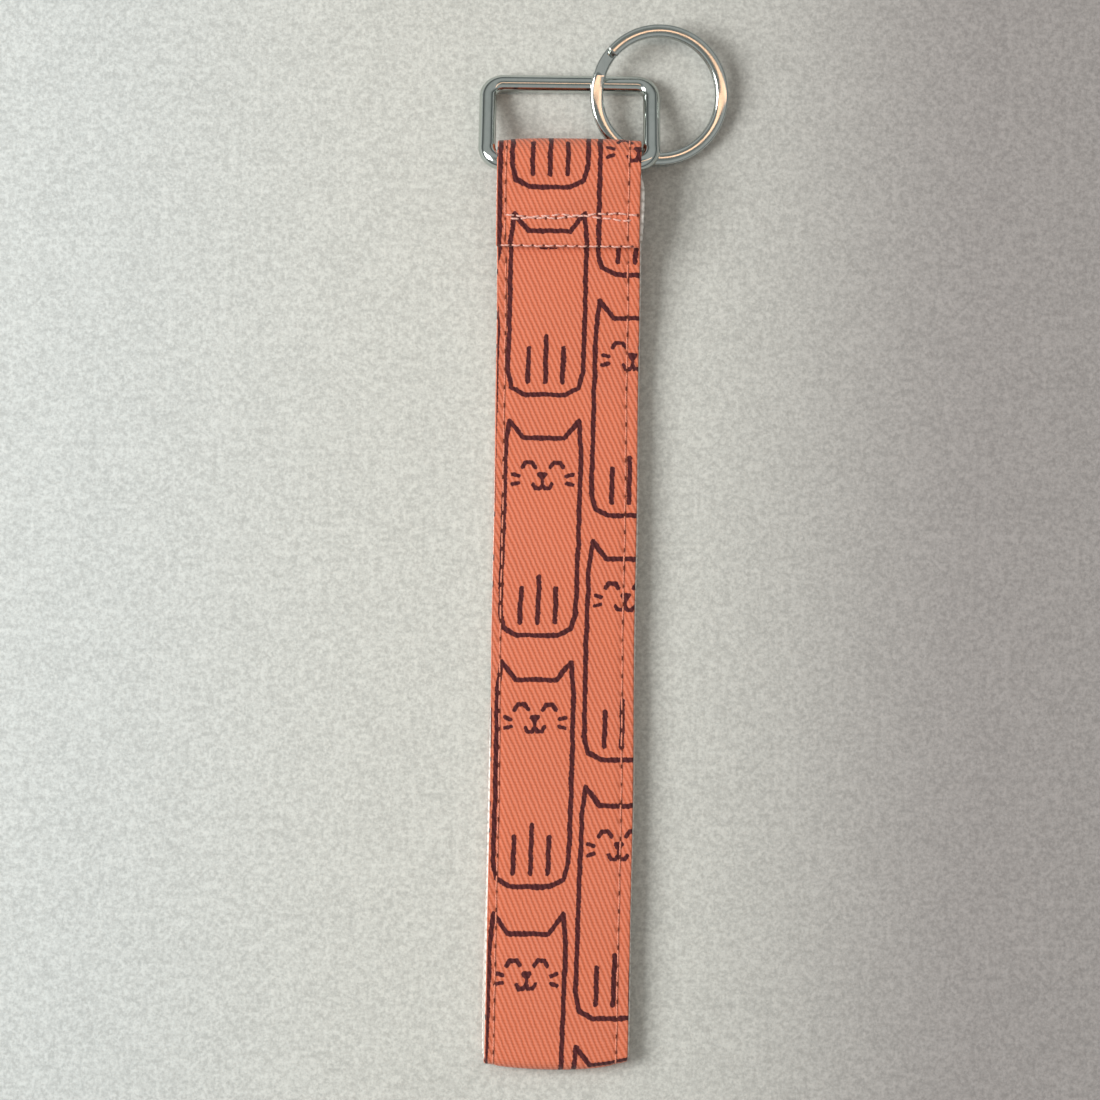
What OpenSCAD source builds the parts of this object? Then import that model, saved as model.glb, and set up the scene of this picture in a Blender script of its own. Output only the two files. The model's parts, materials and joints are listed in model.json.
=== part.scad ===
// Wrist-strap keychain: a flat loop of webbing covered with printed twill, folded round the
// bar of a rectangular wire ring, with a split ring linked through the wire ring's corner.
//
// The loop lies flat with its back run on Z = 0. X runs across the strap, +Y runs towards the
// rings and +Z is up. The origin is the middle of the strap on the plane it rests on.

/* [Strap] */

// Width of the strap
strap_w = 24.6; // [24:0.1:24.8]
// Length of the folded strap, from the bottom fold to the nose round the bar
strap_len = 160; // [140:1:200]
// Thickness of the webbing
web_t = 1.2; // [1:0.1:1.3]
// Thickness of the printed cover
cover_t = 0.5; // [0.4:0.05:0.6]
// Gap between the two runs of the loop
run_gap = 0.2; // [0.15:0.05:0.4]
// Height that the nose is lifted, where the split ring lies under it
nose_lift = 3.1; // [3:0.1:3.4]
// How far the nose reaches past the middle of the bar
nose_reach = 4; // [4:0.1:5]

/* [Stitching] */

// Distance of the hem from the nose
hem_back = 18.8; // [16:0.1:22]
// Distance of the upper cross row from the nose
row_back = 13.2; // [11:0.1:14]
// Distance of the edge rows from the strap's edges
edge_in = 1.8; // [1.4:0.1:2.6]
// Width of the thread
thread_w = 0.45; // [0.3:0.05:0.6]
// Height of the thread above the cloth
thread_h = 0.16; // [0.1:0.02:0.3]

/* [Rectangular ring] */

// Diameter of the ring's wire
wire_d = 3; // [2.8:0.1:3]
// Clear width inside the ring
ring_in_w = 25.4; // [25.2:0.1:26]
// Clear length inside the ring
ring_in_l = 12.4; // [12.2:0.1:12.6]
// Radius of the wire's bends at its middle
bend_r = 2.7; // [2.5:0.1:2.8]

/* [Split ring] */

// Outside diameter of the split ring
split_d = 24; // [23.6:0.1:24.2]
// Width of its flattened wire
split_w = 2.2; // [2:0.1:2.3]
// Thickness of one coil
coil_t = 1.05; // [0.9:0.05:1.1]

/* [Hidden] */

$fn = 48;
e = 0.02;
strap_t = web_t + cover_t;
low_y = -strap_len / 2;
nose_y = strap_len / 2;
wire_r = wire_d / 2;
bar_play = 0.28;
bar_y = nose_y - nose_reach;
nose_h = wire_r + bar_play + strap_t;
bar_z = nose_lift + nose_h;
ring_l = ring_in_l + wire_d;
ring_w = ring_in_w + wire_d;
ring_tilt = asin((bar_z - wire_r) / ring_l);
hem_y = nose_y - hem_back;
row_y = nose_y - row_back;
rise_y = 35;

// The strap opens on four lines: the hem, the middle of each run and the bottom fold.
hinge_hem = [hem_y - 1, 4.9];
hinge_mid = [-9.85, 3.6];
hinge_fold = [low_y + 0.1, 1.2];
mid_y = hinge_mid[0];
mid_gap = 2.4;

// Height of the back run's lower face along the strap.
function ease(t) = let (u = min(1, max(0, t))) u * u * (3 - 2 * u);
function lift(y) = nose_lift * ease((y - rise_y) / (bar_y - rise_y));

// Height of the front run's lower face: it lies on the back run.
function front(y) = lift(y) + strap_t + run_gap;

// Lower face of the head's front run, from the hem up to the bar.
head_low = front(hem_y) + strap_t + 0.1;
head_top = bar_z + nose_h - strap_t;
function head(y) = let (t = (y - hem_y) / (bar_y - hem_y))
    head_low + (head_top - head_low) * (0.45 * t + 0.55 * ease(t));

// Points along a run, n steps from y0 to y1, on face f raised by dz.
function face(y0, y1, n, dz, f) = [for (i = [0:n]) let (y = y0 + (y1 - y0) * i / n)
    [y, dz + (f == 0 ? lift(y) : f == 1 ? front(y) : head(y))]];

// Closed outline between heights a and b on one face.
function band(y0, y1, n, a, b, f) = concat(face(y0, y1, n, a, f), face(y1, y0, n, b, f));

// Half an ellipse round the bar, from below to above, inset from the nose's outside.
function nose(inset, a0, a1, n = 24) = [for (i = [0:n]) let (a = a0 + (a1 - a0) * i / n)
    [bar_y + (nose_reach - inset) * cos(a), bar_z + (nose_h - inset) * sin(a)]];

// The head's wrap between two depths in the cloth, from the back run over the nose to the hem.
hem_in = hem_y + 0.5;
function wrap(d0, d1, y0) = concat(
    face(y0, bar_y, 10, d0, 0), nose(d0, -86, 86), face(bar_y, hem_in, 12, strap_t - d0, 2),
    face(hem_in, bar_y, 12, strap_t - d1, 2), nose(d1, 86, -86), face(bar_y, y0, 10, d1, 0));

// Extrudes a Y-Z outline across the strap.
module across(points, w = strap_w, x = 0)
    translate([x - w / 2, 0, 0]) rotate([90, 0, 90]) linear_extrude(w) polygon(points);

// Thread of an edge row on both sides, on a face at height dz.
module edge_rows(y0, y1, n, dz, f)
    for (s = [-1, 1])
        across(band(y0, y1, n, dz, dz + thread_h, f), thread_w, s * (strap_w / 2 - edge_in));

// Half-round end of the bottom fold, between two radii and two angles.
module fold_part(r0, r1, a0, a1)
    translate([-strap_w / 2, low_y + fold_r, fold_r]) rotate([90, 0, 90])
        rotate_fold(r0, r1, a0, a1);
fold_r = strap_t + run_gap / 2;
module rotate_fold(r0, r1, a0, a1)
    linear_extrude(strap_w) polygon(concat(
        [for (i = [0:12]) let (a = a0 + (a1 - a0) * i / 12) r0 * [cos(a), sin(a)]],
        [for (i = [0:12]) let (a = a1 + (a0 - a1) * i / 12) r1 * [cos(a), sin(a)]]));

coral = [0.85, 0.48, 0.36];
white = [0.93, 0.92, 0.9];
peach = [0.93, 0.66, 0.56];
metal = [0.72, 0.74, 0.73];

// Printed cover under the upper back run, from the middle of the loop to the head.
module back_cover() color(coral)
    across(band(mid_y + 0.3, hem_y - 2, 24, 0, cover_t - e, 0));

// Webbing of the upper back run.
module back_webbing() color(white)
    across(band(mid_y + 0.3, hem_y - 2, 24, cover_t, strap_t, 0));

// Printed cover of the head, wrapped round the bar and back to the hem.
module head_cover() color(coral)
    across(wrap(0, cover_t - e, hem_y - 2 + e));

// Webbing of the head, inside its cover.
module head_webbing() color(white)
    across(wrap(cover_t, strap_t, hem_y - 2 + e), strap_w - e);

// End of the front run, sewn in between the back run and the head.
module inner_end() color(white)
    across(band(hem_y + 0.3, row_y + 1.4, 6, 0.1, strap_t - 0.1, 1), strap_w - 0.3);

// Turned-under end of the head's cover, below the hem.
module hem_fold() color(coral)
    across(band(hem_y, hem_in - e, 2, 0.06, strap_t, 2), strap_w - 0.1);

// Cross row through the head at the upper end of the seam.
module upper_cross_row() color(peach)
    across(band(row_y - thread_w / 2, row_y + thread_w / 2, 2, strap_t + e,
        strap_t + thread_h, 2), strap_w - 2 * edge_in);

// Cross row along the hem.
module lower_cross_row() color(peach)
    across(band(hem_y + 0.5, hem_y + 0.5 + thread_w, 2, strap_t + 2 * e,
        strap_t + thread_h, 2), strap_w - 1);

// Printed cover of the upper front run.
module front_cover() color(coral)
    across(band(mid_y + mid_gap / 2, hinge_hem[0] - 0.2, 24, web_t + e, strap_t, 1));

// Webbing of the upper front run.
module front_webbing() color(white)
    across(band(mid_y + mid_gap / 2, hinge_hem[0] - 0.2, 24, 0, web_t, 1));

// Edge rows of the upper front run.
module front_thread() color(peach)
    edge_rows(mid_y + mid_gap / 2 + 1, hinge_hem[0] - 1, 24, strap_t + e, 1);

// Printed cover of the lower front run, with the upper half of the bottom fold.
module low_front_cover() color(coral) {
    across(band(low_y + fold_r - e, mid_y - mid_gap / 2, 2, web_t + e, strap_t, 1));
    fold_part(fold_r - cover_t, fold_r, 90, 171);
}

// Webbing of the lower front run, with its half of the fold.
module low_front_webbing() color(white) {
    across(band(low_y + fold_r - e, mid_y - mid_gap / 2, 2, 0, web_t, 1));
    fold_part(run_gap / 2, fold_r - cover_t - e, 90, 171);
}

// Edge rows of the lower front run.
module low_front_thread() color(peach)
    edge_rows(low_y + fold_r + 0.5, mid_y - mid_gap / 2 - 1, 2, strap_t + e, 1);

// Printed cover of the lower back run, with the lower half of the bottom fold.
module low_back_cover() color(coral) {
    across(band(low_y + fold_r - e, mid_y - 0.3, 2, 0, cover_t - e, 0));
    fold_part(fold_r - cover_t, fold_r, 189, 270);
}

// Webbing of the lower back run, with its half of the fold.
module low_back_webbing() color(white) {
    across(band(low_y + fold_r - e, mid_y - 0.3, 2, cover_t, strap_t, 0));
    fold_part(run_gap / 2, fold_r - cover_t - e, 189, 270);
}

// Straight length of the ring's wire, overlapping its bends a little.
module wire_side(l) rotate([0, 90, 0]) cylinder(r = wire_r, h = l, center = true);

// Quarter bend of the ring's wire.
module wire_bend(a) rotate([0, 0, a]) rotate_extrude(angle = 90)
    translate([bend_r, 0]) circle(r = wire_r);

// Rectangular ring, lower bar inside the strap's fold, far bar down on the rest plane.
module rectangular_ring() color(metal)
    translate([0, bar_y, bar_z]) rotate([-ring_tilt, 0, 0]) {
        for (y = [0, ring_l]) translate([0, y, 0]) wire_side(ring_w - 2 * bend_r);
        for (s = [-1, 1]) translate([s * ring_w / 2, ring_l / 2, 0])
            rotate([0, 0, 90]) wire_side(ring_l - 2 * bend_r);
        for (c = [[1, 1, 0], [-1, 1, 90], [-1, 0, 180], [1, 0, 270]])
            translate([c[0] * (ring_w / 2 - bend_r),
                       c[1] == 1 ? ring_l - bend_r : bend_r, 0]) wire_bend(c[2]);
    }

split_c = [15.5, nose_y + 8.5, 3.06];
split_slope = [-0.09, 0.125];
split_gap = 0.06;
split_r = split_d / 2 - split_w / 2;
coil_z = (coil_t + split_gap) / 2;
cut_at = 141;
jog_turn = 22;
jog_slope = atan(coil_z / (split_r * sin(jog_turn / 2)));

// Flattened wire of the split ring, with rounded edges.
module coil_section() intersection() {
    square([split_w, coil_t], center = true);
    circle(r = split_w / 2 * 1.04);
}

// A stretch of coil from angle a0 through turn.
module coil(a0, turn) rotate([0, 0, a0]) rotate_extrude(angle = turn, $fn = 96)
    translate([split_r, 0]) coil_section();

// Split ring: two coils joined by the short jog where the wire steps from one to the other.
module split_ring() color(metal)
    translate(split_c)
        rotate([atan(split_slope[1]), -atan(split_slope[0]), 0]) {
            translate([0, 0, coil_z]) coil(cut_at + jog_turn - 1, 361 - jog_turn);
            translate([0, 0, -coil_z]) coil(cut_at + jog_turn, 361 - jog_turn);
            rotate([0, 0, cut_at + jog_turn / 2]) rotate([jog_slope, 0, 0])
                coil(-jog_turn / 2 + 0.2, jog_turn - 0.4);
        }

back_cover();
back_webbing();
head_cover();
head_webbing();
inner_end();
hem_fold();
upper_cross_row();
lower_cross_row();
front_cover();
front_webbing();
front_thread();
low_front_cover();
low_front_webbing();
low_front_thread();
low_back_cover();
low_back_webbing();
rectangular_ring();
split_ring();
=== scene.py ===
"""Looks of the printed fabric wrist-strap keychain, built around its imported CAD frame."""

import json
import math

import bpy
import numpy as np
from mathutils import Matrix, Vector


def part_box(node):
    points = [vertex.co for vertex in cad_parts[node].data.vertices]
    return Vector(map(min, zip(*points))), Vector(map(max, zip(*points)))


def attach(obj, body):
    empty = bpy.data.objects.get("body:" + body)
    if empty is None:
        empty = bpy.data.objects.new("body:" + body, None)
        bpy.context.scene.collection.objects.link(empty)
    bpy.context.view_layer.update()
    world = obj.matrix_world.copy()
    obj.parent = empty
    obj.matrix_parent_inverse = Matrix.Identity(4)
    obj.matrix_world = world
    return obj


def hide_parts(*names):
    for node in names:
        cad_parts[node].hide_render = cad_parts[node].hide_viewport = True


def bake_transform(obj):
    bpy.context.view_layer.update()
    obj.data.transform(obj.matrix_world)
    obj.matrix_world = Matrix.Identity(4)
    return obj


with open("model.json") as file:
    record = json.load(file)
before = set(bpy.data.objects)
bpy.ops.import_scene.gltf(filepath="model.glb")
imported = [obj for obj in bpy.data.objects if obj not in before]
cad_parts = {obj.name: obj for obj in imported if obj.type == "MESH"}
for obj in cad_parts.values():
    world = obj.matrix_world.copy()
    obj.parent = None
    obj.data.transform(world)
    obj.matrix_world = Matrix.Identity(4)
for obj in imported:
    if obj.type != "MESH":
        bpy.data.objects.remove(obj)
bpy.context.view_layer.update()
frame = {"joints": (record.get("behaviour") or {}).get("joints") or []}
MM = 0.001

# ---------------------------------------------------------------- sizes from the frame, in mm


def low(node):
    return np.array(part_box(node)[0]) / MM


def high(node):
    return np.array(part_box(node)[1]) / MM


joints = {j["name"]: np.array(j["pos_m"]) / MM for j in frame["joints"]}
HALF_W = (high("front_cover")[0] - low("front_cover")[0]) / 2
LOW_Y = low("low_back_cover")[1]
NOSE_Y = high("head_cover")[1]
NOSE_TOP = high("head_cover")[2]
BAR_Y, BAR_Z = joints["ring_swings"][1:3]
HEM_Y = low("hem_fold")[1]
MID_Y = joints["loop_middle_bends"][1]
FOLD_R = high("low_front_cover")[2] / 2
COVER_T, WEB_T = 0.5, 1.2      # thicknesses of cover and webbing
CLOTH_T = COVER_T + WEB_T
RUN_GAP = 2 * (FOLD_R - CLOTH_T)
NOSE_H = NOSE_TOP - BAR_Z
NOSE_REACH = NOSE_Y - BAR_Y
LIFT = BAR_Z - NOSE_H
RISE_Y = 35.0                  # the back run lifts off the floor from here to the ring's bar
UNDER_HEM = 0.1                # air between the front run and the head's hem
HEM_LAP = 3.0                  # length turned under at the hem
INNER_END_Y = high("inner_end")[1]
HEM_R = CLOTH_T / 2


def ease(t):
    t = np.clip(t, 0, 1)
    return t * t * (3 - 2 * t)


def back_z(y):
    return LIFT * ease((y - RISE_Y) / (BAR_Y - RISE_Y))


def front_z(y):
    return back_z(y) + 2 * CLOTH_T + RUN_GAP


HEAD_LOW = float(front_z(HEM_Y)) + UNDER_HEM + CLOTH_T


def head_z(y):
    t = (y - HEM_Y) / (BAR_Y - HEM_Y)
    return HEAD_LOW + (NOSE_TOP - HEAD_LOW) * (0.45 * t + 0.55 * ease(t))


# ---------------------------------------------------------------- the strip's path, end to end
STEP = 0.02


def arc(cy, cz, ry, rz, a0, a1):
    n = max(8, int(abs(a1 - a0) * max(ry, rz) / STEP))
    a = np.linspace(a0, a1, n)
    return np.c_[cy + ry * np.cos(a), cz + rz * np.sin(a)]


def run(y0, y1, z):
    y = np.linspace(y0, y1, int(abs(y1 - y0) / STEP))
    return np.c_[y, z(y)]


QUARTER_TURN = math.pi / 2
hem_c = HEM_Y + HEM_R
parts = [
    run(INNER_END_Y, LOW_Y + FOLD_R, front_z),
    arc(LOW_Y + FOLD_R, FOLD_R, FOLD_R, FOLD_R, QUARTER_TURN, 3 * QUARTER_TURN),
    run(LOW_Y + FOLD_R, BAR_Y, back_z),
    arc(BAR_Y, BAR_Z, NOSE_REACH, NOSE_H, -QUARTER_TURN, QUARTER_TURN),
    run(BAR_Y, hem_c, head_z),
    arc(hem_c, float(head_z(hem_c)) - HEM_R, HEM_R, HEM_R, QUARTER_TURN, 3 * QUARTER_TURN),
    run(hem_c, hem_c + HEM_LAP, lambda y: head_z(y) - CLOTH_T),
]
path = [parts[0]]
ends = []
for p in parts[1:]:
    ends.append(sum(len(q) for q in path))
    path.append(p[1:])
path = np.concatenate(path)
path_s = np.r_[0, np.cumsum(np.linalg.norm(np.diff(path, axis=0), axis=1))]
S_FOLD0, S_FOLD1, S_NOSE0, S_NOSE1, S_HEM0, S_HEM1 = [path_s[i] for i in ends]
S_END = path_s[-1]
S_FOLD = (S_FOLD0 + S_FOLD1) / 2

PITCH = 3.1           # edge rows' stitch length
ROW_STEP = PITCH / 10
rows = list(np.arange(0, S_END, ROW_STEP))
for a, b in ((S_FOLD0 - 1, S_FOLD1 + 1), (S_NOSE0, S_NOSE1), (S_HEM0 - 1, S_HEM1 + 1)):
    rows += [s + ROW_STEP / 2 for s in np.arange(0, S_END, ROW_STEP) if a < s < b]
rows = np.array(sorted(rows))


def at(s):
    """Points, outward normals and tangents of the strip's outer face at arc lengths s."""
    s = np.atleast_1d(np.asarray(s, float))
    p = np.c_[np.interp(s, path_s, path[:, 0]), np.interp(s, path_s, path[:, 1])]
    d = 0.12
    q0 = np.c_[np.interp(s - d, path_s, path[:, 0]), np.interp(s - d, path_s, path[:, 1])]
    q1 = np.c_[np.interp(s + d, path_s, path[:, 0]), np.interp(s + d, path_s, path[:, 1])]
    t = q1 - q0
    t /= np.linalg.norm(t, axis=1)[:, None]
    return p, np.c_[t[:, 1], -t[:, 0]], t


def s_front(y):
    return INNER_END_Y - y


def s_back(y):
    seg = (path_s > S_FOLD1) & (path_s < S_NOSE0)
    return float(np.interp(y, path[seg, 0], path_s[seg]))


def s_head(y):
    seg = (path_s > S_NOSE1) & (path_s < S_HEM0)
    return float(np.interp(-y, -path[seg, 0], path_s[seg]))


# ---------------------------------------------------------------- how the cloth lies
ROW_L, ROW_R = -(HALF_W - 1.5), HALF_W - 2.05
CROSS_Y = 66.4
S_CROSS = s_head(CROSS_Y)
S_LOWER = S_HEM0 + 0.8
CROSS_PITCH, CROSS_X0 = 1.75, ROW_L
LOWER_PITCH, LOWER_X0 = 1.9, -HALF_W + 0.6


def cross_line(x, k=0):
    """Waver of the upper cross row's pass k, along the strip."""
    return 0.30 * k + 0.45 * np.sin(0.27 * x + 2.6 + 2.2 * k) + 0.12 * np.sin(2.1 * x + k)


def waves(s, x):
    """Slow unevenness of the runs, outward. Nothing where the strap rests on the floor."""
    a = np.clip(np.minimum((s - 8) / 12, (S_FOLD0 - 4 - s) / 12), 0, 1)
    front = a * (0.10 + 0.06 * np.sin(s / 9.3 + 0.14 * x) + 0.05 * np.sin(s / 4.1 + 1.7 - 0.2 * x))
    b = ease((s - S_NOSE1 + 1) / 4) * ease((S_HEM0 - s) / 3)
    head = b * 0.09 * np.sin(s * 0.7 + 0.33 * x)
    corner = np.abs(x / HALF_W) ** 3 * (0.35 - 0.1 * np.sign(x))
    nose = -np.exp(-(((s - (S_NOSE0 + S_NOSE1) / 2) / 4) ** 2)) * corner
    return front + head + nose


def stitched(s, x):
    """Depth that the rows of stitching pull the cover in, deepest at the holes."""
    hole = np.exp(-((((s / PITCH + 0.5) % 1) - 0.5) * PITCH / 0.42) ** 2)
    between = 0.5 + 0.5 * np.cos(2 * np.pi * s / PITCH)
    d = 0
    for xr in (ROW_L, ROW_R):
        r = x - xr
        d = d + np.exp(-((r / 0.55) ** 2)) * (0.09 + 0.09 * hole)
        side = np.sign(xr)
        outside = np.clip((x - xr) * side / 0.8, 0, 1)
        d = d + 0.05 * outside * between
    for sc, depth, wide in ((S_CROSS, 0.28, 0.8), (S_LOWER, 0.10, 0.45)):
        d = d + depth * np.exp(-(((s - sc - 0.25 * np.sin(0.3 * x)) / wide) ** 2)) * (
            0.8 + 0.2 * np.cos(2 * np.pi * x / 1.55))
    return d


def shift(s):
    """Sideways drift of the strip, in x."""
    front = -0.6 * ease((s - S_FOLD0 + 45) / 45)
    back = (front - 0.35 * ease((s - S_FOLD0) / 8)) * (1 - ease((s - S_FOLD1 - 12) / 55))
    wander = 0.12 * np.sin(s / 21.0 + 0.5) + 0.05 * np.sin(s / 6.7)
    return back + wander * np.clip(s / 20, 0, 1)


def web_edge(s, side):
    """How far the webbing stands out past the cover at each edge."""
    head = np.exp(-(((s - (S_HEM0 - 6)) / 7.5) ** 2))
    weft = 0.05 * np.sin(2 * np.pi * s / 0.95)
    # flush where the ring's sides swing past
    free = 1 - ease((s - S_NOSE0 + 10) / 4) * ease((S_NOSE1 + 5.5 - s) / 4)
    if side > 0:
        return free * (0.20 + 0.55 * head + weft + 0.07 * np.sin(s / 7.0))
    return free * (0.02 + weft + 0.05 * np.sin(s / 8.3 + 1))


def surface(s, x, depth):
    """World points in mm at arc lengths s, places across x and depths under the cover's face."""
    p, n, _ = at(s)
    soft = np.clip(1 - depth / CLOTH_T * 0.85, 0.15, 1)
    out = waves(s, x) - stitched(s, x) * soft - depth
    # the fold's corners are drawn up a little, the right one more
    corner = np.abs(x / HALF_W) ** 2.4 * np.where(x > 0, 1.5, 0.9)
    y = p[:, 0] + n[:, 0] * out + corner * np.exp(-(((s - S_FOLD) / 6.5) ** 2))
    z = p[:, 1] + n[:, 1] * out
    return np.c_[x + shift(s), y, z]


# ---------------------------------------------------------------- meshes


def grid_x(x0, x1, n):
    """n + 1 places across, closer together by the rows of stitching."""
    x = np.linspace(x0, x1, 2000)
    w = 1 / 0.62 + sum(1 / 0.17 * np.exp(-(((x - r) / 0.7) ** 2)) for r in (ROW_L, ROW_R))
    c = np.r_[0, np.cumsum((w[1:] + w[:-1]) / 2)]
    return np.interp(np.linspace(0, c[-1], n + 1), c, x)


def ring_outline(half_l, half_r, d0, d1, r, top_n, low_n):
    """Closed cross-section as (x, depth): outer face, right edge, inner face, left edge."""
    top = grid_x(-half_l + r, half_r - r, top_n)
    bottom = grid_x(-half_l + r, half_r - r, low_n)[::-1]
    a = np.linspace(0, math.pi / 2, 5)[1:-1]
    pts = [(x, d0) for x in top]
    pts += [(half_r - r + r * math.sin(t), d0 + r - r * math.cos(t)) for t in a]
    pts += [(half_r, d0 + r), (half_r, d1 - r)]
    pts += [(half_r - r + r * math.cos(t), d1 - r + r * math.sin(t)) for t in a]
    pts += [(x, d1) for x in bottom]
    pts += [(-half_l + r - r * math.sin(t), d1 - r + r * math.cos(t)) for t in a]
    pts += [(-half_l, d1 - r), (-half_l, d0 + r)]
    pts += [(-half_l + r - r * math.cos(t), d0 + r - r * math.sin(t)) for t in a]
    return np.array(pts)


COLUMN, REPEAT = 15.0, 41.5                  # the print's spacings, in an even half drop
DROP = REPEAT / 2
FACE_Y, HEAD_FACE_Y = 23.5, 58.8             # a cat's face on the front run, and on the head's run-on
S_FACE = s_front(FACE_Y)
S_HEAD_FACE = s_head(HEM_Y + 1) + HEM_Y + 1 - HEAD_FACE_Y


def print_v(s):
    """Place along the print: a little drawn out towards the bottom fold."""
    t = np.minimum(s, S_FOLD1) - S_FACE
    return -(t - 0.0006 * np.clip(t - 20, 0, None) ** 2) - np.clip(s - S_FOLD1, 0, None)


# the print's slip between the loop and the head, taken up on the back run
SLIP = float(print_v(S_HEAD_FACE) + REPEAT / 2) % REPEAT - REPEAT / 2


def print_uv(s, x):
    t = np.clip((s - S_FOLD1) / (S_NOSE0 - S_FOLD1), 0, 1)
    skew = 4.0 + 0.0155 * (np.minimum(s, S_FOLD1) - S_FACE)
    return x + skew + (3.2 - skew) * t, print_v(s) - SLIP * t


def make(name, verts, faces, uvs=None, extra=None, smooth=True):
    """A mesh object from arrays in mm; uvs are per vertex, extra is per-vertex float layers."""
    mesh = bpy.data.meshes.new(name)
    mesh.from_pydata((np.asarray(verts) * MM).tolist(), [], faces)
    mesh.update()
    if uvs is not None:
        idx = np.zeros(len(mesh.loops), np.int32)
        mesh.loops.foreach_get("vertex_index", idx)
        layer = mesh.uv_layers.new(name="Pattern")
        layer.data.foreach_set("uv", np.asarray(uvs, np.float32)[idx].ravel())
    for key, val in (extra or {}).items():
        a = mesh.attributes.new(key, "FLOAT", "POINT")
        a.data.foreach_set("value", np.asarray(val, np.float32))
    mesh.polygons.foreach_set("use_smooth", [smooth] * len(mesh.polygons))
    obj = bpy.data.objects.new(name, mesh)
    bpy.context.scene.collection.objects.link(obj)
    return obj


def strip(name, s0, s1, outline, edge=None):
    """A closed length of the strip between arc lengths s0 and s1, with the given section."""
    ss = rows[(rows > s0 + 1e-6) & (rows < s1 - 1e-6)]
    ss = np.r_[s0, ss, s1]
    n, m = len(ss), len(outline)
    S = np.repeat(ss, m)
    X = np.tile(outline[:, 0], n)
    D = np.tile(outline[:, 1], n)
    u_line = np.r_[0, np.cumsum(np.linalg.norm(np.diff(outline, axis=0), axis=1))]
    U = np.tile(u_line + outline[0, 0], n)
    if edge:
        out = np.clip((np.abs(X) - (HALF_W - 0.9)) / 0.9, 0, None)
        X = X + np.where(X > 0, edge(S, 1), -edge(S, -1)) * np.clip(out, 0, 1)
    V = surface(S, X, D)
    u, v = print_uv(S, U)
    hole = np.zeros(len(S))
    if D.min() == 0:
        # painted shade: dark pinholes where the needle went through, and a fainter painted groove
        # shade along each row
        frac = np.abs(((S / PITCH + 0.5) % 1) - 0.5) * PITCH
        for xr in (ROW_L, ROW_R):
            dash = 0.62 + 0.3 * np.sin(np.round(S / PITCH) * 2.4 + xr)
            line = np.exp(-((X - xr - 0.08) / 0.20) ** 2)
            hole = np.maximum(hole, line * np.exp(-((frac / dash) ** 4)) * (D < 0.05))
            hole = np.maximum(hole, 0.30 * line * (D < 0.05))
    i = np.arange(n - 1)[:, None] * m + np.arange(m)[None, :]
    j = np.arange(n - 1)[:, None] * m + (np.arange(m)[None, :] + 1) % m
    faces = np.stack([i, i + m, j + m, j], -1).reshape(-1, 4).tolist()
    faces.append(list(range(m)))
    faces.append([(n - 1) * m + k for k in range(m)][::-1])
    across = np.tile(outline[:, 0], n)
    obj = make(name, V, faces, np.c_[u, v], {"hole": hole, "along": S, "across": across})
    caps = np.zeros(len(obj.data.edges), bool)
    for e in obj.data.edges:
        a, b = e.vertices
        if (a < m and b < m) or (a >= (n - 1) * m and b >= (n - 1) * m):
            caps[e.index] = True
    sharp = obj.data.attributes.new("sharp_edge", "BOOLEAN", "EDGE")
    sharp.data.foreach_set("value", caps)
    return obj


def sweep(points, radius, sides=6, flat=1.0, up=None):
    """Tube vertices and faces along points, closed at both ends."""
    P = np.asarray(points, float)
    T = np.gradient(P, axis=0)
    T /= np.linalg.norm(T, axis=1)[:, None]
    up = np.tile([0, 0, 1.0], (len(P), 1)) if up is None else up
    A = np.cross(T, up)
    A /= np.linalg.norm(A, axis=1)[:, None] + 1e-9
    B = np.cross(A, T)
    r = np.broadcast_to(np.asarray(radius, float), (len(P),))
    ang = np.linspace(0, 2 * math.pi, sides, endpoint=False)
    V = (P[:, None] + r[:, None, None] * (np.cos(ang)[None, :, None] * A[:, None]
         + flat * np.sin(ang)[None, :, None] * B[:, None])).reshape(-1, 3)
    n = len(P)
    F = []
    for i in range(n - 1):
        for k in range(sides):
            a, b = i * sides + k, i * sides + (k + 1) % sides
            F.append([a, b, b + sides, a + sides])
    F.append(list(range(sides))[::-1])
    F.append([(n - 1) * sides + k for k in range(sides)])
    return V, F


def join_tubes(name, tubes):
    verts, faces, along, base = [], [], [], 0
    for V, F, S in tubes:
        verts.append(V)
        faces += [[k + base for k in f] for f in F]
        along.append(S)
        base += len(V)
    along = np.concatenate(along)
    return make(name, np.concatenate(verts), faces, np.c_[along * 0, along], {"along": along})


def stitch(s0, x0, s1, x1, depth=0.0, proud=0.10, r=0.2, inner=False):
    """One stitch between two holes, sunk at its ends."""
    t = np.array([0.06, 0.16, 0.32, 0.5, 0.68, 0.84, 0.94])
    rise = np.array([-0.24, -0.02, 0.8, 1, 0.8, -0.02, -0.24])
    rise = np.where(rise > 0, rise * proud, rise)
    s = s0 + (s1 - s0) * t
    x = x0 + (x1 - x0) * t
    lift = -rise if not inner else rise
    pts = surface(s, x, depth + lift)
    _, nrm, _ = at(s)
    up = np.c_[np.zeros(len(s)), nrm]
    V, F = sweep(pts, r * np.array([0.8, 0.95, 1, 1, 1, 0.95, 0.8]), 6, 0.75, up)
    return V, F, np.repeat(s, 6)


def edge_stitches(name, s0, s1):
    k0, k1 = math.ceil(s0 / PITCH - 1e-6), math.floor(s1 / PITCH + 1e-6)
    tubes = []
    for k in range(k0, k1):
        for xr in (ROW_L, ROW_R):
            j = 0.06 * math.sin(k * 1.9 + xr)
            a, b = k * PITCH, (k + 1) * PITCH
            tubes.append(stitch(a, xr + j, b, xr + 0.06 * math.sin((k + 1) * 1.9 + xr), 0, 0.03, 0.15))
            tubes.append(stitch(a, xr, b, xr, CLOTH_T, 0.12, 0.2, True))
    return join_tubes(name, tubes)


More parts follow.
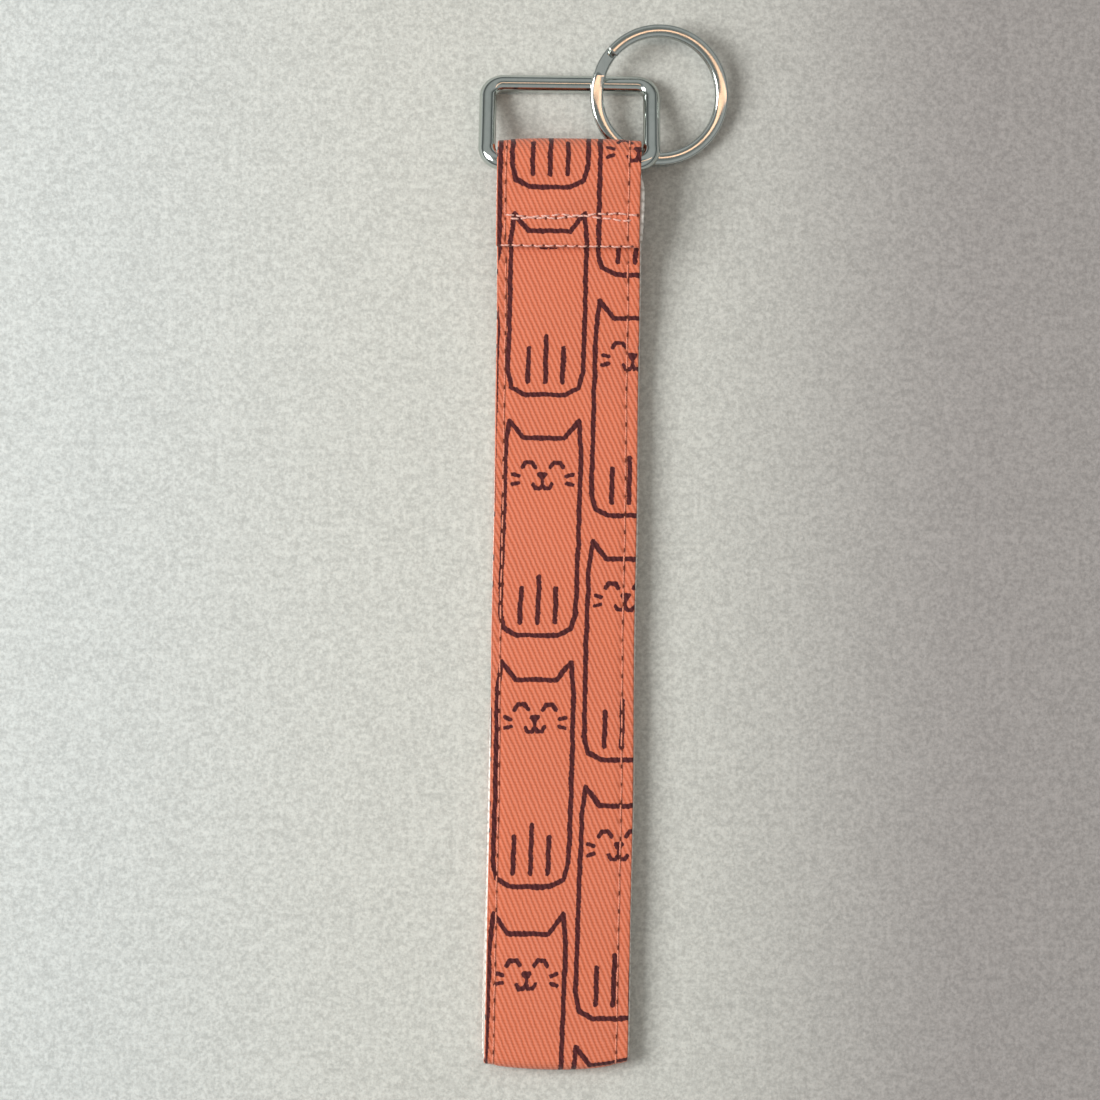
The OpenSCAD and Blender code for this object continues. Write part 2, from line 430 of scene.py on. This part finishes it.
# where the strip is cut into lengths: under the hem, in two flat stretches and at the open pivot
S_A = s_front(HEM_Y + 1.1)
HIGH_CUT_Y, LOW_CUT_Y = 25.0, -45.0
SEAM = 0.06                    # clearance at the open pivot
S_B = round(s_front(HIGH_CUT_Y) / PITCH) * PITCH
S_C = round(s_front(LOW_CUT_Y) / PITCH) * PITCH
S_P = s_back(MID_Y - 0.05)
S_Q = S_P + SEAM

cover_line = ring_outline(HALF_W, HALF_W, 0, COVER_T, 0.24, 70, 16)
web_line = ring_outline(HALF_W, HALF_W, COVER_T + 0.03, CLOTH_T, 0.42, 16, 44)
S_WEB_END = S_HEM0 - 0.4

covers = {
    "cover_front": strip("cover_front", S_A, S_B, cover_line),
    "cover_middle": strip("cover_middle", S_B, S_C, cover_line),
    "cover_bottom": strip("cover_bottom", S_C, S_P, cover_line),
    "cover_back": strip("cover_back", S_Q, S_END, cover_line),
}
webs = {
    "webbing_front": strip("webbing_front", 0.0, S_B, web_line, web_edge),
    "webbing_middle": strip("webbing_middle", S_B, S_C, web_line, web_edge),
    "webbing_bottom": strip("webbing_bottom", S_C, S_P, web_line, web_edge),
    "webbing_back": strip("webbing_back", S_Q, S_WEB_END, web_line, web_edge),
}
threads = {
    "stitches_front": edge_stitches("stitches_front", S_A + 1, S_B),
    "stitches_middle": edge_stitches("stitches_middle", S_B, S_C),
    "stitches_bottom": edge_stitches("stitches_bottom", S_C, S_P - 1),
    "stitches_back": edge_stitches("stitches_back", S_Q + 1, S_HEM0 - 0.6),
}


def cross_row(name, s_mid, pitch, passes, wave, x0, x1, under_s):
    tubes = []
    for k, phase in enumerate(passes):
        xs = np.arange(x0 + phase, x1, pitch)
        off = wave(xs, k)
        for i in range(len(xs) - 1):
            tubes.append(stitch(s_mid + off[i], xs[i], s_mid + off[i + 1], xs[i + 1], 0, 0.12, 0.17))
            tubes.append(stitch(under_s - off[i], xs[i], under_s - off[i + 1], xs[i + 1],
                                0, 0.10, 0.17))
    return join_tubes(name, tubes)


threads["cross_stitches"] = cross_row(
    "cross_stitches", S_CROSS, CROSS_PITCH, (0.0, 0.8), cross_line, CROSS_X0, HALF_W - 0.2,
    s_back(CROSS_Y))
threads["hem_stitches"] = cross_row(
    "hem_stitches", S_LOWER, LOWER_PITCH, (0.0,), lambda x, k: 0.06 * np.sin(0.9 * x),
    LOWER_X0, HALF_W - 0.3, s_back(HEM_Y + 0.6))

# ---------------------------------------------------------------- rings


def sweep_section(name, centre, across, upward, section, closed=True):
    """Sweeps a closed section (a list of across, up pairs) along a centre line."""
    C, A, B = (np.asarray(v, float) for v in (centre, across, upward))
    sec = np.asarray(section, float)
    n, m = len(C), len(sec)
    V = (C[:, None] + sec[None, :, 0, None] * A[:, None] + sec[None, :, 1, None] * B[:, None])
    F = []
    for i in range(n if closed else n - 1):
        k = (i + 1) % n
        for j in range(m):
            j2 = (j + 1) % m
            F.append([i * m + j, i * m + j2, k * m + j2, k * m + j])
    if not closed:
        F.append(list(range(m))[::-1])
        F.append([(n - 1) * m + j for j in range(m)])
    length = np.r_[0, np.cumsum(np.linalg.norm(np.diff(C, axis=0), axis=1))]
    uv = np.c_[np.tile(np.arange(m) / m * 6.0, n), np.repeat(length, m)]
    return make(name, V.reshape(-1, 3), F, uv)


ring_lo, ring_hi = low("rectangular_ring"), high("rectangular_ring")
WIRE_R = 1.5
half_x = (ring_hi[0] - ring_lo[0]) / 2 - WIRE_R
far = np.array([0, ring_hi[1] - WIRE_R, ring_lo[2] + WIRE_R])
near = np.array([0, BAR_Y, BAR_Z])
ring_len = np.linalg.norm(far - near)
slope = (far - near) / ring_len
face = np.cross([1.0, 0, 0], slope)
CORNER = 2.7


def rounded_rect(hx, l, r):
    """Corner-rounded rectangle in (x, along) with evenly spaced points, and inward normals."""
    pts, nrm = [], []
    corners = [(hx - r, l - r, 0), (-hx + r, l - r, 90), (-hx + r, r, 180), (hx - r, r, 270)]
    for k, (cx, cy, a0) in enumerate(corners):
        for a in np.radians(a0 + np.linspace(0, 90, 19)):
            pts.append((cx + r * math.cos(a), cy + r * math.sin(a)))
            nrm.append((math.cos(a), math.sin(a)))
        nx = corners[(k + 1) % 4]
        a = math.radians(a0 + 90)
        p0 = np.array(pts[-1])
        p1 = np.array([nx[0] + r * math.cos(a), nx[1] + r * math.sin(a)])
        for t in np.linspace(0, 1, 24)[1:-1]:
            pts.append(tuple(p0 + (p1 - p0) * t))
            nrm.append((math.cos(a), math.sin(a)))
    return np.array(pts), np.array(nrm)


pts, nrm = rounded_rect(half_x, ring_len, CORNER)
C = near[None] + pts[:, :1] * np.array([[1.0, 0, 0]]) + pts[:, 1:] * slope[None]
A = nrm[:, :1] * np.array([[1.0, 0, 0]]) + nrm[:, 1:] * slope[None]
B = np.tile(face, (len(C), 1))
ang = np.linspace(0, 2 * math.pi, 40, endpoint=False)
wire_ring = sweep_section("wire_ring", C, A, B,
                        np.c_[WIRE_R * np.cos(ang), WIRE_R * np.sin(ang)])

# the split ring: two flattened coils and the jog that takes the wire from one to the other
split_lo, split_hi = low("split_ring"), high("split_ring")
split_c = (split_lo + split_hi) / 2
COIL_W, COIL_T, COIL_GAP = 2.2, 1.05, 0.06
coil_r = (split_hi[0] - split_lo[0]) / 2 - COIL_W / 2 + 0.02
tilt_x, tilt_y = math.atan(0.125), math.atan(0.09)
spin = Matrix.Rotation(tilt_y, 3, "Y") @ Matrix.Rotation(tilt_x, 3, "X")
spin = np.array(spin)
CUT, JOG = 141.0, 22.0
HALF_Z = (COIL_T + COIL_GAP) / 2
turn = np.radians(np.r_[np.arange(CUT + JOG, CUT + 360, 2.0), CUT + 360])
jog = np.radians(np.linspace(CUT + 360, CUT + 360 + JOG, 16)[1:])
upper = np.radians(np.r_[np.arange(CUT + 360 + JOG, CUT + 720, 2.0)[1:], CUT + 719.5])
ang_all = np.r_[turn, jog, upper]
t = np.clip((ang_all - np.radians(CUT + 360)) / np.radians(JOG), 0, 1)
z_all = HALF_Z * (2 * t - 1)
rad = np.c_[np.cos(ang_all), np.sin(ang_all), np.zeros(len(ang_all))]
C = coil_r * rad + np.c_[np.zeros((len(rad), 2)), z_all]
up = np.tile([0, 0, 1.0], (len(C), 1))


def crowned_section(w, h, power):
    """Flattened round wire: a soft oval of width w and height h."""
    a = np.linspace(0, 2 * math.pi, 36, endpoint=False)
    c, q = np.cos(a), np.sin(a)
    wide = w / 2 * np.sign(c) * np.abs(c) ** power
    tall = h / 2 * np.sign(q) * np.abs(q) ** power
    return np.c_[wide, tall]


key_coils = sweep_section("key_coils", C @ spin.T + split_c, rad @ spin.T, up @ spin.T,
                        crowned_section(COIL_W, COIL_T + 0.02, 0.84), closed=False)

# ---------------------------------------------------------------- shader helpers


def linear(r, g, b):
    def one(c):
        c /= 255
        return c / 12.92 if c <= 0.04045 else ((c + 0.055) / 1.055) ** 2.4
    return (one(r), one(g), one(b), 1)


def link(tree, socket, value):
    if isinstance(value, bpy.types.NodeSocket):
        tree.links.new(value, socket)
    elif value is not None:
        socket.default_value = value


def m(tree, op, a, b=None, c=None, clamp=False):
    n = tree.nodes.new("ShaderNodeMath")
    n.operation, n.use_clamp = op, clamp
    for k, v in enumerate((a, b, c)):
        link(tree, n.inputs[k], v)
    return n.outputs[0]


def v(tree, op, a, b=None, c=None):
    n = tree.nodes.new("ShaderNodeVectorMath")
    n.operation = op
    for k, val in enumerate((a, b, c)):
        link(tree, n.inputs[k], val)
    return n.outputs["Value"] if op in ("DOT_PRODUCT", "LENGTH") else n.outputs["Vector"]


def scaled(tree, a, factor):
    n = tree.nodes.new("ShaderNodeVectorMath")
    n.operation = "SCALE"
    link(tree, n.inputs[0], a)
    link(tree, n.inputs["Scale"], factor)
    return n.outputs["Vector"]


def mix(tree, fac, a, b):
    n = tree.nodes.new("ShaderNodeMix")
    n.data_type = "RGBA"
    link(tree, n.inputs["Factor"], fac)
    link(tree, n.inputs["A"], a)
    link(tree, n.inputs["B"], b)
    return n.outputs["Result"]


def noise(tree, vec, scale, detail=3, rough=0.5, output="Fac"):
    n = tree.nodes.new("ShaderNodeTexNoise")
    link(tree, n.inputs["Vector"], vec)
    n.inputs["Scale"].default_value = scale
    n.inputs["Detail"].default_value = detail
    n.inputs["Roughness"].default_value = rough
    return n.outputs[output]


def ramp(tree, fac, stops):
    n = tree.nodes.new("ShaderNodeMapRange")
    n.interpolation_type = "SMOOTHSTEP"
    link(tree, n.inputs["Value"], fac)
    for k, val in zip(("From Min", "From Max", "To Min", "To Max"), stops):
        n.inputs[k].default_value = val
    return n.outputs["Result"]


def bump(tree, height, distance, normal=None, strength=1.0):
    n = tree.nodes.new("ShaderNodeBump")
    n.inputs["Distance"].default_value = distance
    n.inputs["Strength"].default_value = strength
    link(tree, n.inputs["Height"], height)
    link(tree, n.inputs["Normal"], normal)
    return n.outputs["Normal"]


def material(name):
    mat = bpy.data.materials.new(name)
    mat.use_nodes = True
    tree = mat.node_tree
    return mat, tree, tree.nodes["Principled BSDF"]


def pattern(tree):
    n = tree.nodes.new("ShaderNodeUVMap")
    n.uv_map = "Pattern"
    return n.outputs["UV"]


def attribute(tree, name):
    n = tree.nodes.new("ShaderNodeAttribute")
    n.attribute_name = name
    return n.outputs["Fac"]


def sep(tree, vec):
    n = tree.nodes.new("ShaderNodeSeparateXYZ")
    link(tree, n.inputs[0], vec)
    return n.outputs


def xyz(tree, x, y, z=0.0):
    n = tree.nodes.new("ShaderNodeCombineXYZ")
    for k, val in enumerate((x, y, z)):
        link(tree, n.inputs[k], val)
    return n.outputs[0]


# ---------------------------------------------------------------- print: separate plain cats
LINE, FACE_LINE = 0.44, 0.36         # half widths of the drawn lines
CAT_W, CAT_TOP, CAT_LOW, EAR = 6.5, 5.0, -29.0, 3.0   # half width, crown, base and ear, in mm


def mirrored(points):
    """The points' left half run on into their mirror image on the right."""
    return points + [(-x, y) for x, y in points[::-1]]


def arch(x, y, half, rise):
    return [(x + half * math.cos(a), y + rise * math.sin(a)) for a in np.linspace(math.pi, 0, 4)]


def cat():
    """Lines of a plain cat built of even steps, about the middle of its face: (points, half width)."""
    round_base = [(-CAT_W, CAT_LOW + 4), (-CAT_W + 0.7, CAT_LOW + 1.2), (-CAT_W + 3, CAT_LOW)]
    ears = [(-CAT_W, CAT_TOP - 1.5), (-CAT_W + 0.5, CAT_TOP + EAR), (-CAT_W + 3, CAT_TOP)]
    lines = [(mirrored(ears), LINE), (mirrored(round_base), LINE)]
    for side in (-1, 1):
        lines += [
            ([(side * CAT_W, CAT_TOP - 1.5), (side * CAT_W, CAT_LOW + 4)], LINE),
            ([(side * 3, CAT_LOW + 8), (side * 3, CAT_LOW + 2.2)], LINE),
            (arch(side * 2.4, 0, 1.1, 0.9), 0.40),
            (arch(side * 0.8, -3, 0.8, -0.8), FACE_LINE),
            ([(side * 4.2, -1.6), (side * 5.2, -1.3)], FACE_LINE),
            ([(side * 4.2, -2.8), (side * 5.2, -3.1)], FACE_LINE),
        ]
    lines += [
        ([(0, CAT_LOW + 10), (0, CAT_LOW + 2.2)], LINE),
        ([(-0.5, -1.3), (0.5, -1.3), (0, -1.9), (-0.5, -1.3)], 0.42),
        ([(0, -1.9), (0, -3)], 0.30),
    ]
    return lines


def cat_group(name):
    """Node group: place in mm about a cat -> how far inside an inked line it is, in mm."""
    g = bpy.data.node_groups.new(name, "ShaderNodeTree")
    g.interface.new_socket("Place", in_out="INPUT", socket_type="NodeSocketVector")
    g.interface.new_socket("Inside", in_out="OUTPUT", socket_type="NodeSocketFloat")
    p = g.nodes.new("NodeGroupInput").outputs[0]
    best = None
    for line, half in cat():
        for (ax, ay), (bx, by) in zip(line, line[1:]):
            dx, dy = bx - ax, by - ay
            l2 = dx * dx + dy * dy
            q = v(g, "SUBTRACT", p, (ax, ay, 0))
            h = v(g, "DOT_PRODUCT", q, (dx / l2, dy / l2, 0))
            h = m(g, "MINIMUM", m(g, "MAXIMUM", h, 0.0), 1.0)
            d = v(g, "LENGTH", v(g, "SUBTRACT", q, scaled(g, (dx, dy, 0), h)))
            d = m(g, "SUBTRACT", half, d)
            best = d if best is None else m(g, "MAXIMUM", best, d)
    out = g.nodes.new("NodeGroupOutput")
    g.links.new(best, out.inputs[0])
    return g


CAT_DRAWING = cat_group("cat")


RIB, FLOAT = 0.80, 0.46              # spacing of the twill's ribs and of the floats across them
RIB_ANGLE = math.radians(25.6)       # of the ribs off the strip's length


def coral_twill():
    mat, t, b = material("coral_printed_twill")
    uv = pattern(t)
    place = v(t, "MULTIPLY", uv, (1, 1, 0))
    # hand-drawn wobble of the lines, and thread-sized raggedness at their edges
    slow = noise(t, place, 0.35, 1, output="Color")
    wob = v(t, "MULTIPLY_ADD", slow, (0.5, 0.5, 0), (-0.25, -0.25, 0))
    fine = noise(t, place, 2.6, 1, output="Color")
    rag = v(t, "MULTIPLY_ADD", fine, (0.36, 0.36, 0), (-0.18, -0.18, 0))
    drawn = v(t, "ADD", place, v(t, "ADD", wob, rag))
    xy = sep(t, drawn)
    inked = None
    top = CAT_TOP + EAR + 1
    for ox, oy in ((0.0, 0.0), (COLUMN, -DROP)):
        px = m(t, "WRAP", m(t, "SUBTRACT", xy[0], ox), COLUMN, -COLUMN)
        py = m(t, "WRAP", m(t, "SUBTRACT", xy[1], oy), top, top - REPEAT)
        gn = t.nodes.new("ShaderNodeGroup")
        gn.node_tree = CAT_DRAWING
        link(t, gn.inputs[0], xyz(t, px, py))
        inked = gn.outputs[0] if inked is None else m(t, "MAXIMUM", inked, gn.outputs[0])
    ink = ramp(t, inked, (-0.05, 0.07, 0, 1))
    across_ribs = v(t, "DOT_PRODUCT", place, (math.cos(RIB_ANGLE), math.sin(RIB_ANGLE), 0))
    sway = noise(t, v(t, "MULTIPLY", place, (0.4, 0.14, 0)), 1.0, 2)
    jitter = noise(t, v(t, "MULTIPLY", place, (1.3, 0.7, 0)), 1.0, 2)
    phase = m(t, "MULTIPLY_ADD", across_ribs, 2 * math.pi / RIB, m(t, "MULTIPLY", sway, 1.6))
    phase = m(t, "MULTIPLY_ADD", jitter, 2.4, phase)
    rib = m(t, "POWER", m(t, "MULTIPLY_ADD", m(t, "SINE", phase), 0.5, 0.5), 0.75)
    # the weft's short floats across each rib
    step = m(t, "MULTIPLY_ADD", sep(t, place)[1], 2 * math.pi / FLOAT, m(t, "MULTIPLY", sway, 2.0))
    floats = m(t, "MULTIPLY_ADD", m(t, "SINE", step), 0.5, 0.5)
    fibre = noise(t, place, 9.0, 3, 0.6)
    broad = noise(t, place, 0.09, 2)
    height = m(t, "ADD", m(t, "MULTIPLY", rib, 0.75),
               m(t, "ADD", m(t, "MULTIPLY", floats, 0.22), m(t, "MULTIPLY", fibre, 0.3)))
    rib_c = m(t, "ADD", m(t, "MULTIPLY_ADD", rib, 0.57, m(t, "MULTIPLY", floats, 0.24)),
              m(t, "MULTIPLY_ADD", fibre, 0.74, -0.27), clamp=True)
    ground = mix(t, rib_c, linear(187, 88, 52), linear(228, 139, 114))
    ground = mix(t, m(t, "MULTIPLY", broad, 0.35), ground, linear(226, 118, 76))
    # pale worn fibres on the ribs of both cloth and print
    worn = ramp(t, m(t, "ADD", fibre, m(t, "MULTIPLY", rib, 0.35)), (0.78, 1.15, 0, 0.35))
    ground = mix(t, worn, ground, linear(242, 178, 160))
    plum = mix(t, rib_c, linear(52, 12, 12), linear(92, 38, 42))
    colour = mix(t, ink, ground, plum)
    # painted shade: the needle holes and row grooves are darkened to brown, from the hole attribute at
    # the edge rows and as spots at the cross and hem rows
    hole, across, along = (attribute(t, name) for name in ("hole", "across", "along"))
    pinhole_shade = None
    line = m(t, "MULTIPLY_ADD", m(t, "SINE", m(t, "MULTIPLY_ADD", across, 0.27, 2.6)), 0.45, S_CROSS)
    for pitch, start, middle in ((CROSS_PITCH, CROSS_X0, line), (LOWER_PITCH, LOWER_X0, S_LOWER)):
        px = m(t, "WRAP", m(t, "SUBTRACT", across, start), pitch / 2, -pitch / 2)
        away = v(t, "LENGTH", xyz(t, px, m(t, "MULTIPLY", m(t, "SUBTRACT", along, middle), 0.8)))
        pinhole_shade_spot = ramp(t, away, (0.16, 0.34, 0.9, 0))
        pinhole_shade = pinhole_shade_spot if pinhole_shade is None else m(t, "MAXIMUM", pinhole_shade, pinhole_shade_spot)
    dark = m(t, "MAXIMUM", m(t, "MULTIPLY", hole, 1.15, clamp=True), pinhole_shade)
    colour = mix(t, dark, colour, linear(84, 34, 22))
    link(t, b.inputs["Base Color"], colour)
    link(t, b.inputs["Roughness"], ramp(t, rib, (0, 1, 0.92, 0.78)))
    b.inputs["Specular IOR Level"].default_value = 0.25
    b.inputs["Sheen Weight"].default_value = 0.18
    b.inputs["Sheen Roughness"].default_value = 0.5
    link(t, b.inputs["Normal"], bump(t, height, 0.00011))
    return mat


def white_webbing():
    mat, t, b = material("white_webbing")
    uv = v(t, "MULTIPLY", pattern(t), (1, 1, 0))
    xy = sep(t, uv)
    warp = m(t, "ABSOLUTE", m(t, "SINE", m(t, "MULTIPLY", xy[0], math.pi / 1.0)))
    half = m(t, "MULTIPLY", m(t, "FLOORED_MODULO", m(t, "FLOOR", xy[0]), 2.0), math.pi / 2)
    weft = m(t, "ABSOLUTE", m(t, "SINE", m(t, "MULTIPLY_ADD", xy[1], math.pi / 1.9, half)))
    ply = noise(t, v(t, "MULTIPLY", uv, (7, 2.5, 0)), 1.0, 3)
    h = m(t, "ADD", m(t, "MULTIPLY", warp, weft), m(t, "MULTIPLY", ply, 0.35))
    shade = ramp(t, h, (0.1, 0.9, 0, 1))
    colour = mix(t, shade, linear(196, 190, 182), linear(240, 238, 233))
    link(t, b.inputs["Base Color"], colour)
    link(t, b.inputs["Roughness"], ramp(t, ply, (0.2, 0.8, 0.95, 0.8)))
    b.inputs["Specular IOR Level"].default_value = 0.3
    b.inputs["Sheen Weight"].default_value = 0.15
    link(t, b.inputs["Normal"], bump(t, h, 0.0002))
    return mat


def thread(name, dark, pale):
    mat, t, b = material(name)
    obj = t.nodes.new("ShaderNodeTexCoord").outputs["Object"]
    twist = v(t, "DOT_PRODUCT", obj, (9000.0, 11000.0, 5000.0))
    ply = m(t, "MULTIPLY_ADD", m(t, "SINE", twist), 0.5, 0.5)
    fuzz = noise(t, obj, 2600.0, 3)
    colour = mix(t, m(t, "MULTIPLY_ADD", ply, 0.6, m(t, "MULTIPLY", fuzz, 0.4)), dark, pale)
    link(t, b.inputs["Base Color"], colour)
    link(t, b.inputs["Roughness"], ramp(t, fuzz, (0.2, 0.8, 0.75, 0.5)))
    b.inputs["Sheen Weight"].default_value = 0.2
    link(t, b.inputs["Normal"], bump(t, ply, 0.00004))
    return mat


def chrome(name, tint, rough0, rough1, scratch):
    mat, t, b = material(name)
    obj = t.nodes.new("ShaderNodeTexCoord").outputs["Object"]
    wear = noise(t, obj, 140.0, 5, 0.65)
    lines = noise(t, v(t, "MULTIPLY", obj, (900.0, 90.0, 900.0)), 1.0, 4, 0.6)
    grain = noise(t, obj, 2400.0, 2)
    mark = m(t, "ADD", m(t, "MULTIPLY", wear, 0.6), m(t, "MULTIPLY", lines, 0.4))
    link(t, b.inputs["Base Color"], mix(t, ramp(t, mark, (0.35, 0.7, 0, 1)), tint,
                                        (tint[0] * 0.86, tint[1] * 0.88, tint[2] * 0.87, 1)))
    b.inputs["Metallic"].default_value = 1.0
    link(t, b.inputs["Roughness"], ramp(t, mark, (0.35, 0.75, rough0, rough1)))
    height = m(t, "ADD", m(t, "MULTIPLY", lines, scratch), m(t, "MULTIPLY", grain, 0.15))
    link(t, b.inputs["Normal"], bump(t, height, 0.00001))
    return mat


def paper():
    mat, t, b = material("floor_paper")
    obj = t.nodes.new("ShaderNodeTexCoord").outputs["Object"]
    xy = sep(t, obj)
    speck = noise(t, obj, 760.0, 4, 0.75)
    blot = noise(t, obj, 140.0, 3, 0.6)
    cool, pale, painted_shade_grey = linear(194, 199, 198), linear(199, 201, 196), linear(164, 161, 160)
    # painted shade: the floor's colour is a little darker to the strap's right, standing in for the
    # light's falloff, and pale again beyond
    base = mix(t, ramp(t, xy[0], (-0.09, -0.02, 0, 1)), cool, pale)
    base = mix(t, ramp(t, xy[0], (0.012, 0.075, 0, 1)), base, painted_shade_grey)
    base = mix(t, ramp(t, xy[0], (0.13, 0.32, 0, 1)), base, pale)
    grit = noise(t, v(t, "ADD", obj, (3.0, 1.0, 0.5)), 1700.0, 2, 0.6)
    mottle = m(t, "ADD", m(t, "MULTIPLY", speck, 0.55), m(t, "MULTIPLY", blot, 0.1))
    mottle = m(t, "MULTIPLY_ADD", grit, 0.35, mottle)
    shade = ramp(t, mottle, (0.36, 0.64, 0.80, 1.16))
    link(t, b.inputs["Base Color"], v(t, "MULTIPLY", base, xyz(t, shade, shade, shade)))
    b.inputs["Roughness"].default_value = 0.85
    b.inputs["Specular IOR Level"].default_value = 0.2
    link(t, b.inputs["Normal"], bump(t, speck, 0.00012))
    return mat


coral = coral_twill()
white = white_webbing()
edge_thread = thread("coral_thread", linear(196, 104, 76), linear(236, 156, 130))
cross_thread = thread("pale_pink_thread", linear(214, 140, 124), linear(246, 205, 192))
bright = chrome("polished_chrome", (0.58, 0.62, 0.60, 1), 0.05, 0.16, 0.5)
steel = chrome("polished_steel", (0.60, 0.63, 0.61, 1), 0.07, 0.18, 0.9)

for o in covers.values():
    o.data.materials.append(coral)
for o in webs.values():
    o.data.materials.append(white)
for k, o in threads.items():
    o.data.materials.append(cross_thread if k in ("cross_stitches", "hem_stitches") else edge_thread)
wire_ring.data.materials.append(bright)
key_coils.data.materials.append(steel)

# ---------------------------------------------------------------- which body some pieces ride on; the rest are only baked in place


def bend(obj, a, b, y0, y1):
    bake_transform(obj)


def bend_fold(obj):
    """Bakes the bottom piece's place into its mesh and reads its arc lengths; nothing bends it open.
    """
    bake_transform(obj)
    s = np.zeros(len(obj.data.vertices), np.float32)
    obj.data.attributes["along"].data.foreach_get("value", s)


BEND_TOP = (HEM_Y - 0.2, HEM_Y - 11)
for kind in ("cover", "webbing", "stitches"):
    obj = {"cover": covers, "webbing": webs, "stitches": threads}[kind]
    bend(obj[kind + "_front"], "strap_back", "strap_front", *BEND_TOP)
    bend(obj[kind + "_middle"], "strap_front", "strap_low_front", MID_Y + 17, MID_Y - 17)
    bend_fold(obj[kind + "_bottom"])
    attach(obj[kind + "_back"], "strap_back")
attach(threads["cross_stitches"], "strap_back")
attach(threads["hem_stitches"], "strap_back")
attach(wire_ring, "ring")
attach(key_coils, "key_ring")

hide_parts("back_cover", "head_cover", "hem_fold")
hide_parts("front_cover")
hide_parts("low_front_cover")
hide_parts("low_back_cover")
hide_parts("back_webbing", "head_webbing")
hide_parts("front_webbing", "inner_end")
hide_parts("low_front_webbing")
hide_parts("low_back_webbing")
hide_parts("front_thread")
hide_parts("low_front_thread")
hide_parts("upper_cross_row")
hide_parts("lower_cross_row")
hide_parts("rectangular_ring")
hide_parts("split_ring")

# ---------------------------------------------------------------- floor, light and camera
scene = bpy.context.scene
bpy.ops.mesh.primitive_grid_add(size=6, x_subdivisions=4, y_subdivisions=4)
floor = bpy.context.object
floor.name = "floor"
floor.location = (0, 0, -0.05 * MM)       # just clear of the strap's underside
floor.data.materials.append(paper())


def area(name, place, aim, size, power, colour):
    """A rectangular light of the given width and length, in metres, turned to face aim."""
    data = bpy.data.lights.new(name, "AREA")
    data.shape = "RECTANGLE"
    data.size, data.size_y = size
    data.energy = power
    data.color = colour
    o = bpy.data.objects.new(name, data)
    o.location = place
    o.rotation_euler = (Vector(aim) - Vector(place)).to_track_quat("-Z", "Y").to_euler()
    scene.collection.objects.link(o)


area("window", (-0.50, 0.04, 0.42), (0, 0, 0), (0.36, 0.36), 4.75, (1.0, 0.985, 0.96))
area("warm_strip", (0.20, 0.09, 0.62), (0, 0.09, 0), (0.07, 0.9), 0.42, (1.0, 0.56, 0.34))

world = bpy.data.worlds.new("studio")
world.use_nodes = True
scene.world = world
wt = world.node_tree
bg = wt.nodes["Background"]
direction = wt.nodes.new("ShaderNodeTexCoord").outputs["Generated"]
dz = sep(wt, direction)[2]
# bright at the horizon, dark a little above it, pale higher up and greyer overhead
sky = mix(wt, ramp(wt, dz, (0.15, 0.62, 0, 1)), (0.03, 0.04, 0.038, 1), (0.62, 0.635, 0.62, 1))
sky = mix(wt, ramp(wt, dz, (0.86, 0.95, 0, 1)), sky, (0.30, 0.325, 0.315, 1))
sky = mix(wt, ramp(wt, dz, (0.10, 0.22, 0, 1)), (0.62, 0.63, 0.62, 1), sky)
link(wt, bg.inputs["Color"], sky)
bg.inputs["Strength"].default_value = 0.76

scene.view_settings.view_transform = "Standard"

# the camera looks straight down, a little from the strap's lower end
AIM = Vector((-2.525, 9.425, 0)) * MM
DISTANCE, CAM_TILT, CAM_ROLL = 0.420, 0.02897, 0.01169     # metres and radians
SENSOR, LENS = 36.0, 79.09
back = Vector((0, -math.sin(CAM_TILT), math.cos(CAM_TILT)))
side = Vector((1, 0, 0))
top = back.cross(side)
r2 = math.cos(CAM_ROLL) * side + math.sin(CAM_ROLL) * top
u2 = -math.sin(CAM_ROLL) * side + math.cos(CAM_ROLL) * top
cam_data = bpy.data.cameras.new("camera")
cam_data.sensor_width, cam_data.lens = SENSOR, LENS
cam_data.clip_start = 0.01
camera = bpy.data.objects.new("camera", cam_data)
place = AIM + DISTANCE * back
camera.matrix_world = Matrix(((r2.x, u2.x, back.x, place.x), (r2.y, u2.y, back.y, place.y),
                              (r2.z, u2.z, back.z, place.z), (0, 0, 0, 1)))
scene.collection.objects.link(camera)
scene.camera = camera
